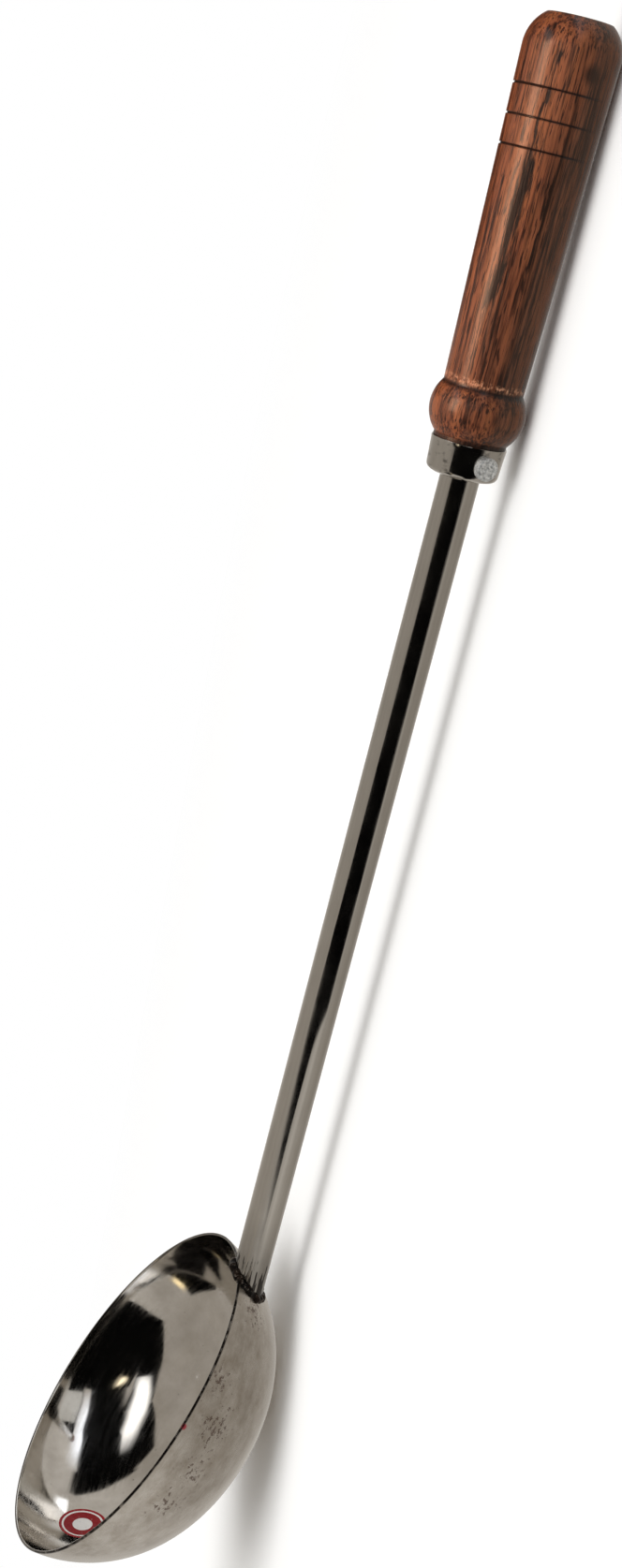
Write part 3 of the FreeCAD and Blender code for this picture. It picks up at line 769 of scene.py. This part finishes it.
# %% Waxed hardwood
VEINS = (
    # angle round the handle, half width, first and last height, darkness
    (-2.07, 0.24, (350, 402), 0.95),
    (-1.46, 0.07, (362, 398), 0.75),
    (-2.02, 0.06, (396, 432), 0.85),
    (-1.05, 0.06, (335, 360), 0.5),
    (-2.55, 0.05, (340, 380), 0.5),
    (1.1, 0.12, (345, 405), 0.8),
    (2.3, 0.06, (370, 430), 0.7),
)
KNOT = (4.9, -13.6, 422)


def vein(tree, angle, along, centre, half, reach, darkness):
    """A dark line at an angle round the handle that fades out at both of its ends."""
    line = ridge(tree, angle, centre, half)
    start = between(tree, along, reach[0], reach[0] + 7)
    end = between(tree, along, reach[1], reach[1] - 7, 0.0, darkness)
    return calculate(tree, "MULTIPLY", line, calculate(tree, "MULTIPLY", start, end))


def veins(tree, x, y, along):
    """All veins. Two noises shift the angle, so that they wander together as grain does, and a
    third one splits their edges into fibres."""
    angle = calculate(tree, "ARCTAN2", y, x)
    slow = calculate(tree, "MULTIPLY", noise(tree, (30, 30, 26), 2.0), 0.5)
    fast = calculate(tree, "MULTIPLY", noise(tree, (1.5, 1.5, 7), 3.0), 0.16)
    wander = calculate(tree, "SUBTRACT", calculate(tree, "ADD", slow, fast), 0.33)
    lean = between(tree, along, 335.0, 415.0, 0.12, -0.12)
    bent = calculate(tree, "ADD", angle, calculate(tree, "ADD", wander, lean))
    total = 0.0
    for line in VEINS:
        total = calculate(tree, "MAXIMUM", total, vein(tree, bent, along, *line))
    ragged = noise(tree, (0.7, 0.7, 11), 4.0, 0.65)
    split = calculate(tree, "ADD", total, between(tree, ragged, 0.3, 0.7, -0.45, 0.45))
    inside = between(tree, total, 0.0, 0.2)
    return calculate(tree, "MULTIPLY", between(tree, split, 0.28, 0.62), inside)


def torn_grain(tree, along):
    """Pale torn fibres just past the ball, as ragged flecks round the handle."""
    flecks = between(tree, noise(tree, (1.1, 1.1, 1.6), 4.0, 0.6), 0.48, 0.58)
    return calculate(tree, "MULTIPLY", flecks, ridge(tree, along, 330.4, 1.5))


def heartwood(tree):
    """Bands, fibres and pores, from broad to fine, over each other."""
    bands = noise(tree, (6, 6, 110), 4.0, 0.6, 0.7)
    fibres = noise(tree, (0.9, 0.9, 26), 3.0, 0.6)
    pores = noise(tree, (0.5, 0.5, 7), 2.0)
    tone = add(tree, "ShaderNodeValToRGB", {0: bands})
    ramp = tone.color_ramp
    ramp.elements[0].position, ramp.elements[0].color = 0.37, hex_colour("#1C0E09")
    ramp.elements[1].position, ramp.elements[1].color = 0.66, hex_colour("#784525")
    for position, colour in ((0.44, "#412213"), (0.5, "#5E311B"), (0.58, "#6C3D21")):
        ramp.elements.new(position).color = hex_colour(colour)
    light = blend(tree, between(tree, fibres, 0.42, 0.62, 0.0, 0.5), tone.outputs[0], "#8A5030")
    dark = blend(tree, between(tree, fibres, 0.47, 0.36, 0.0, 0.7), light, "#27150D")
    return blend(tree, between(tree, pores, 0.44, 0.37, 0.0, 0.9), dark, "#1A0C07"), fibres, pores


def waxed_hardwood():
    """The wood, then veins, knot, a browner underside with painted shade, torn fibres, and painted
    shade in the lines, at the neck and in the corner by the ball, all under thin wax.
    """
    material, tree = new_material("hardwood_turned_waxed")
    wood, fibres, pores = heartwood(tree)
    x, y, along = own_axes(tree)
    veined = blend(tree, veins(tree, x, y, along), wood, "#1A0D08")
    knot = between(tree, near(tree, KNOT, 3.6), 0.0, 0.6, 0.0, 0.85)
    knotted = blend(tree, knot, veined, "#1C0E08")
    # partly the wood's tone, partly painted shade: the side towards the table (+x) is browner and
    # darker
    browned_and_shaded = blend(tree, between(tree, x, -4.0, 9.0, 0.0, 0.3), knotted, "#4C321C")
    torn = blend(tree, torn_grain(tree, along), browned_and_shaded, "#B48060")
    # painted shade in the bottoms of the scribed lines
    line_shade = add(tree, "ShaderNodeAttribute", attribute_name="painted_line_shade").outputs["Fac"]
    # painted shade: the neck is darkened where it meets the ferrule's lip
    neck = between(tree, along, 313.6, 312.6, 0.0, 0.85)
    # painted shade: a dark band in the corner where the ball meets the grip
    junction_shade = between(tree, ridge(tree, along, 328.6, 1.3), 0.0, 0.8, 0.0, 0.8)
    # all painted shade: scribed lines, neck and the corner by the ball
    painted_crevice_shade = calculate(tree, "MAXIMUM", calculate(tree, "MAXIMUM", line_shade, neck), junction_shade)
    principled(
        tree,
        Base_Color=blend(tree, painted_crevice_shade, torn, "#140B08"),
        Roughness=between(tree, fibres, 0.35, 0.65, 0.38, 0.52),
        Specular_IOR_Level=0.2,
        Coat_Weight=0.34,
        Coat_Roughness=0.2,
        Normal=relief(tree, pores, 0.0004, 0.7),
    )
    return material


handle.data.materials.append(waxed_hardwood())

# %% [markdown]
# The sticker is coated paper printed in red, with a white ring near its edge and a plain white
# spot in the middle. The coating is a little worn, which dulls the print in patches.

# %% Printed paper


def printed_paper():
    """Rings of ink by the distance from the middle, worn by a fine noise."""
    material, tree = new_material("paper_coated_printed")
    share = add(tree, "ShaderNodeAttribute", attribute_name="from_middle")
    inks = add(tree, "ShaderNodeValToRGB", {0: share.outputs["Fac"]})
    ramp = inks.color_ramp
    ramp.interpolation = "CONSTANT"
    ramp.elements[0].position, ramp.elements[0].color = 0.0, hex_colour("#E9E6E2")
    ramp.elements[1].position, ramp.elements[1].color = 0.42, hex_colour("#8E1B20")
    ramp.elements.new(0.8).color = hex_colour("#E9E6E2")
    ramp.elements.new(0.88).color = hex_colour("#9A2025")
    worn = between(tree, noise(tree, (1.2, 1.2, 1.2), 4.0, 0.6), 0.6, 0.7, 0.0, 0.5)
    principled(
        tree,
        Base_Color=blend(tree, worn, inks.outputs[0], "#A9A29E"),
        Roughness=0.4,
        Specular_IOR_Level=0.15,
        Normal=relief(tree, noise(tree, (0.4, 0.4, 0.4), 4.0), 0.0001, 0.3),
    )
    return material


sticker.data.materials.append(printed_paper())

# %% [markdown]
# The floor is a plain white sweep: it runs flat under the ladle and curves up far behind it, so
# there is no line where it ends. Near the ladle it is matt paper and takes the shadow. Further
# out it fades into plain white light for every ray that looks at it. The world past it looks
# just as white, but it lights the ladle a little less. Mirrors don't see the floor, because the
# cards in the next cells stand in for everything that the steel reflects.

# %% Floor and world
AMBIENT = 0.68
PAPER_TO, WHITE_FROM = 0.35, 1.3


def grid_mesh(name, points, closed=False):
    """Rows of points as a mesh of quads. closed joins each row's last point to its first."""
    index = np.arange(points.shape[0] * points.shape[1]).reshape(points.shape[:2])
    if closed:
        index = np.c_[index, index[:, :1]]
    quads = np.stack([index[:-1, :-1], index[:-1, 1:], index[1:, 1:], index[1:, :-1]], axis=-1)
    mesh = bpy.data.meshes.new(name)
    mesh.from_pydata(points.reshape(-1, 3).tolist(), [], quads.reshape(-1, 4).tolist())
    return mesh


def sweep(half_width=3.0, front=-2.5, flat=1.2, curve=0.9, top=3.0):
    """A flat stretch, a quarter circle and a wall, carried sideways as a grid."""
    side = outline(
        run((front, 0), (flat, 0), 30),
        bend((flat, curve), curve, -math.pi / 2, 0),
        run((flat + curve, curve), (flat + curve, top), 8),
    )
    across = np.linspace(-half_width, half_width, 9)
    points = np.stack(
        [across + 0 * side[:, :1], side[:, :1] + 0 * across, side[:, 1:] + 0 * across], axis=2
    )
    mesh = grid_mesh("sweep", points)
    mesh.polygons.foreach_set("use_smooth", np.ones(len(mesh.polygons), dtype=bool))
    floor = bpy.data.objects.new("sweep", mesh)
    bpy.context.scene.collection.objects.link(floor)
    return floor


def looked_at(tree):
    """1 for rays that come from the camera, from a mirror or through glass, and 0 for light."""
    path = add(tree, "ShaderNodeLightPath").outputs
    direct = calculate(tree, "MAXIMUM", path["Is Camera Ray"], path["Is Glossy Ray"])
    return calculate(tree, "MAXIMUM", direct, path["Is Transmission Ray"])


def matt_white():
    """Matt paper round the ladle that turns to plain white light further out."""
    material, tree = new_material("paper_sweep_matt_white")
    paper = {"Base Color": hex_colour("#FAF9F7"), "Roughness": 1.0, "Specular IOR Level": 0.0}
    matt = add(tree, "ShaderNodeBsdfPrincipled", paper)
    white = add(tree, "ShaderNodeEmission", {"Color": (1, 1, 1, 1), "Strength": 1.0})
    way = add(tree, "ShaderNodeTexCoord").outputs["Object"]
    away = add(tree, "ShaderNodeVectorMath", {0: way}, operation="LENGTH").outputs["Value"]
    share = calculate(tree, "MULTIPLY", between(tree, away, PAPER_TO, WHITE_FROM), looked_at(tree))
    mix = {0: share, 1: matt.outputs[0], 2: white.outputs[0]}
    finish_material(tree, add(tree, "ShaderNodeMixShader", mix))
    return material


floor = sweep()
floor.data.materials.append(matt_white())
floor.visible_glossy = False

world = bpy.data.worlds.new("white_room")
bpy.context.scene.world = world
world.use_nodes = True
tree = world.node_tree
tree.nodes.clear()
strength = between(tree, looked_at(tree), 0.0, 1.0, AMBIENT, 1.0)
background = add(tree, "ShaderNodeBackground", {"Color": (1, 1, 1, 1), "Strength": strength})
add(tree, "ShaderNodeOutputWorld", {"Surface": background.outputs[0]})

# %% [markdown]
# Polished steel has hardly any colour of its own: it is drawn by what stands round it. So cards
# stand round the ladle, dark walls and bright panels with soft edges. Only mirror-like rays see
# them, and they neither block the camera nor light or shade the ladle. The hollow bowl also
# mirrors its own wall, and there a card shows a second time. A card can therefore be kept to the
# first mirror image or to the image of an image.

# %% How a card is made
BOWL_MIDDLE = Vector((-0.24, 0.045, 0.045))
FIRST, SECOND = 1, 2


def seen(heading, height, distance):
    """A point in a direction from the bowl. Heading 0 looks to the camera's side of the ladle,
    90 looks along the handle, and height is the angle above the floor."""
    a, e = math.radians(heading), math.radians(height)
    way = Vector((math.cos(e) * math.sin(a), -math.cos(e) * math.cos(a), math.sin(e)))
    return BOWL_MIDDLE + distance * way


def far_patch(distance, *corners):
    """A card's corners from headings and heights, all at one distance from the bowl."""
    return [seen(heading, height, distance) for heading, height in corners]


def facing(y, *corners):
    """A card's corners from x and z, all at one y, so that it stands along the ladle."""
    return [(x, y, z) for x, z in corners]


def lying(*corners):
    """A card's corners from x and y, a hair above the floor."""
    return [(x, y, 0.0008) for x, y in corners]


def soft_mask(tree, soft):
    """1 inside the card, falling smoothly to 0 over the given share of its width at each edge."""
    uv = add(tree, "ShaderNodeUVMap", uv_map="across")
    place = add(tree, "ShaderNodeSeparateXYZ", {0: uv.outputs[0]}).outputs
    shares = []
    for axis in (0, 1):
        off = calculate(tree, "ABSOLUTE", calculate(tree, "SUBTRACT", place[axis], 0.5))
        fall = {0: off, 1: 0.5 - soft, 2: 0.5, 3: 1.0, 4: 0.0}
        mask = add(tree, "ShaderNodeMapRange", fall, interpolation_type="SMOOTHSTEP")
        shares.append(mask.outputs[0])
    return calculate(tree, "MULTIPLY", *shares)


def set_aside(piece):
    """Puts a card in the scene so that only mirror-like rays see it."""
    bpy.context.scene.collection.objects.link(piece)
    for ray in ("camera", "diffuse", "shadow", "transmission", "volume_scatter"):
        setattr(piece, f"visible_{ray}", False)


def card(name, corners, colour, strength, soft, image=None, one_sided=False):
    """A four-cornered card that glows evenly inside soft edges. image keeps it to the first
    mirror image or to the image of an image, and a one-sided card is clear from behind."""
    mesh = bpy.data.meshes.new(name)
    mesh.from_pydata([tuple(corner) for corner in corners], [], [(0, 1, 2, 3)])
    layer = mesh.uv_layers.new(name="across")
    layer.data.foreach_set("uv", [0.0, 0.0, 1.0, 0.0, 1.0, 1.0, 0.0, 1.0])
    material, tree = new_material(f"{name}_face")
    glow = add(tree, "ShaderNodeEmission", {"Color": hex_colour(colour), "Strength": strength})
    clear = add(tree, "ShaderNodeBsdfTransparent")
    share = soft_mask(tree, soft)
    if one_sided:
        behind = add(tree, "ShaderNodeNewGeometry").outputs["Backfacing"]
        share = calculate(tree, "MULTIPLY", share, calculate(tree, "SUBTRACT", 1.0, behind))
    if image:
        depth = add(tree, "ShaderNodeLightPath").outputs["Ray Depth"]
        which = calculate(tree, "LESS_THAN" if image == FIRST else "GREATER_THAN", depth, 1.5)
        share = calculate(tree, "MULTIPLY", share, which)
    mix = {0: share, 1: clear.outputs[0], 2: glow.outputs[0]}
    finish_material(tree, add(tree, "ShaderNodeMixShader", mix))
    mesh.materials.append(material)
    set_aside(bpy.data.objects.new(name, mesh))


def dark(name, corners, soft, image=None):
    """A card that is nearly black."""
    card(name, corners, "#060606", 1.0, soft, image)


print("the far cards stand round this point, mm:", [round(v * 1000) for v in BOWL_MIDDLE])

# %% [markdown]
# A dark card between the camera and the ladle, and one lying on the floor, draw the black stripe
# down the tube. Three dark walls far off, towards the handle, fill the middle of the bowl with
# black.

# %% Dark cards of the first image
FAR, LESS_FAR = 1.4, 1.3
front = facing(-0.34, (0.23, -0.02), (-0.34, -0.02), (-0.285, 0.385), (0.23, 0.385))
dark("dark_front", front, 0.01, FIRST)
dark("dark_floor", lying((-0.3, -0.36), (0.34, -0.36), (0.34, -0.02), (-0.06, -0.02)), 0.02)
dark("dark_mid", far_patch(FAR, (-8, 28), (68, 28), (68, 50), (-8, 41)), 0.05, FIRST)
dark("dark_far", far_patch(FAR, (44, 1), (126, 1), (124, 26), (44, 26)), 0.04, FIRST)
dark("dark_high", far_patch(FAR, (66, 24), (124, 24), (118, 53), (66, 51)), 0.06, FIRST)

# %% [markdown]
# Towards its edge the bowl shows the room a second time, by way of the wall across from there.
# Dark cards, two of them close to the bowl, and two pale ones far off draw those parts.

# %% Cards of the second image
tent = facing(-0.06, (-0.345, 0.1), (-0.25, 0.094), (-0.25, 0.135), (-0.345, 0.18))
strip = facing(-0.06, (-0.265, 0.099), (-0.195, 0.078), (-0.205, 0.088), (-0.265, 0.123))
white_right = far_patch(LESS_FAR, (58, -8), (86, -8), (86, 1), (58, 0))
white_back = far_patch(LESS_FAR, (106, -22), (172, -22), (172, -9), (106, -9))
dark("dark_image", tent, 0.04, SECOND)
dark("dark_image_strip", strip, 0.02, SECOND)
dark("dark_image_far", far_patch(FAR, (-100, 25), (-42, 25), (-42, 62), (-100, 62)), 0.08, SECOND)
dark("dark_spike", far_patch(FAR, (8, -10), (50, -8), (55, -1), (8, 13)), 0.06, SECOND)
card("white_right", white_right, "#FFFFFF", 3.0, 0.3, SECOND)
card("white_back", white_back, "#F8FAFF", 3.0, 0.3, SECOND)
dark("dark_low", far_patch(FAR, (93, 1), (150, -5), (150, 10), (93, 12)), 0.1, SECOND)

# %% [markdown]
# Dark walls behind the ladle and to its left edge the ferrule and the bowl. Bright panels make
# the bowl's highlight, its low window and a few smaller lights. A pale screen keeps the dark
# card on the floor out of the bowl's outside, and it is clear from the tube's side.

# %% Walls behind and bright panels
handle_back = facing(0.3, (0.14, 0.02), (0.6, 0.02), (0.6, 0.5), (0.14, 0.5))
back_wall = facing(0.3, (-0.75, 0.42), (0.1, 0.02), (0.1, 0.18), (-0.7, 0.95))
dark("behind_handle", handle_back, 0.1)
dark("dark_left", far_patch(FAR, (-90, 26), (-46, 26), (-46, 45), (-84, 47)), 0.06)
dark("dark_back", back_wall, 0.05, SECOND)

band = far_patch(LESS_FAR, (32, 31), (104, 21), (104, 39), (32, 48))
low_window = far_patch(LESS_FAR, (50, -7), (110, -7), (110, 16), (50, 16))
glint = far_patch(LESS_FAR, (-50, 28), (-42, 28), (-42, 42), (-50, 42))
warm = facing(-0.335, (0.10, 0.24), (0.20, 0.24), (0.20, 0.34), (0.10, 0.34))
behind = lying((-0.32, 0.3), (0.0, 0.2), (0.8, 0.9), (-0.3, 1.3))
screen = [(-0.1, -0.01, 0.0), (-0.1, -0.068, 0.0), (-0.1, -0.068, 0.045), (-0.1, -0.01, 0.045)]
card("bright_band", band, "#FFFFFF", 2.6, 0.4)
card("bright_low", low_window, "#EEF4FF", 2.0, 0.35)
card("bright_glint", glint, "#FFE9B8", 1.8, 0.4)
card("bright_warm", warm, "#FFF0D0", 2.0, 0.45)
card("bright_behind", behind, "#F4F8FF", 3.0, 0.2)
card("light_screen", screen, "#E6E6E4", 0.9, 0.02, one_sided=True)

# %% [markdown]
# Between the cards the steel shows the room: a ball in a warm grey that is lighter at half height
# and a little cloudy, because a single even tone would make the metal look painted.

# %% Room


def room(radius=2.6):
    """A ball round the whole set in the room's own warm grey, seen by mirror-like rays alone."""
    rows = turned(bend((0, 0), radius, -math.pi / 2 + 0.01, math.pi / 2 - 0.01), 48)
    mesh = grid_mesh("room", rows, closed=True)
    material, tree = new_material("room_warm_grey")
    way = add(tree, "ShaderNodeTexCoord").outputs["Object"]
    cloudy = {"Vector": way, "Scale": 0.9, "Detail": 2.0}
    clouds = add(tree, "ShaderNodeTexNoise", cloudy).outputs["Fac"]
    height = add(tree, "ShaderNodeSeparateXYZ", {0: way}).outputs[2]
    level = blend(tree, between(tree, height, -2.3, -1.1), "#ABA59D", "#D6D2CC")
    upper = blend(tree, between(tree, height, 0.5, 2.0), level, "#B5AFA7")
    varied = blend(tree, between(tree, clouds, 0.35, 0.65, 0.0, 0.35), upper, "#8F8982")
    finish_material(tree, add(tree, "ShaderNodeEmission", {"Color": varied}))
    mesh.materials.append(material)
    set_aside(bpy.data.objects.new("room", mesh))


room()

# %% [markdown]
# Two soft boxes light the ladle: a broad one overhead, and a small warm one above the handle that
# lights the wood alone and puts the satin highlight on its wax.

# %% Lamps


def soft_box(name, place, aim, width, height, power):
    """A rectangular lamp at a place, turned towards an aim. Sizes in metres, power in watts."""
    lamp = bpy.data.lights.new(name, "AREA")
    lamp.shape = "RECTANGLE"
    lamp.size, lamp.size_y = width, height
    lamp.energy = power
    box = bpy.data.objects.new(name, lamp)
    box.location = place
    box.rotation_euler = (Vector(aim) - Vector(place)).to_track_quat("-Z", "Y").to_euler()
    bpy.context.scene.collection.objects.link(box)
    print(f"{name}: {power} W")
    return box


overhead = soft_box("overhead", (0.0, -0.3, 2.2), (0, 0, 0), 2.4, 2.4, 30)
overhead.visible_glossy = False
over_handle = soft_box("over_handle", (0.24, -0.24, 0.62), (0.22, 0, 0.02), 0.34, 0.24, 3.2)
over_handle.data.color = hex_colour("#FFCBA6")[:3]
lit_alone = bpy.data.collections.new("lit_by_over_handle")
lit_alone.objects.link(handle)
over_handle.light_linking.receiver_collection = lit_alone

# %% [markdown]
# The camera stands about 60 cm from the ladle and looks across it just above the floor, turned
# on its side, so that the ladle stands almost upright in a tall picture.

# %% Camera
CAMERA_AT = Vector((0.2319, -0.5785, 0.1158))
CAMERA_AIM = Vector((0.0308, 0.0, 0.0385))
CAMERA_ROLL = math.radians(78.86)
PICTURE = (664, 1675)
FOCAL_IN_PICTURE = 2000.0

camera = bpy.data.cameras.new("camera")
camera.sensor_fit = "AUTO"
camera.sensor_width = 36.0
camera.lens = FOCAL_IN_PICTURE / max(PICTURE) * camera.sensor_width
camera.clip_start = 0.01
stand = bpy.data.objects.new("camera", camera)
bpy.context.scene.collection.objects.link(stand)
look = (CAMERA_AIM - CAMERA_AT).to_track_quat("-Z", "Y").to_matrix().to_4x4()
stand.matrix_world = Matrix.Translation(CAMERA_AT) @ look @ Matrix.Rotation(-CAMERA_ROLL, 4, "Z")
bpy.context.scene.camera = stand
bpy.context.scene.view_settings.view_transform = "Standard"
print("lens, mm:", round(camera.lens, 2))
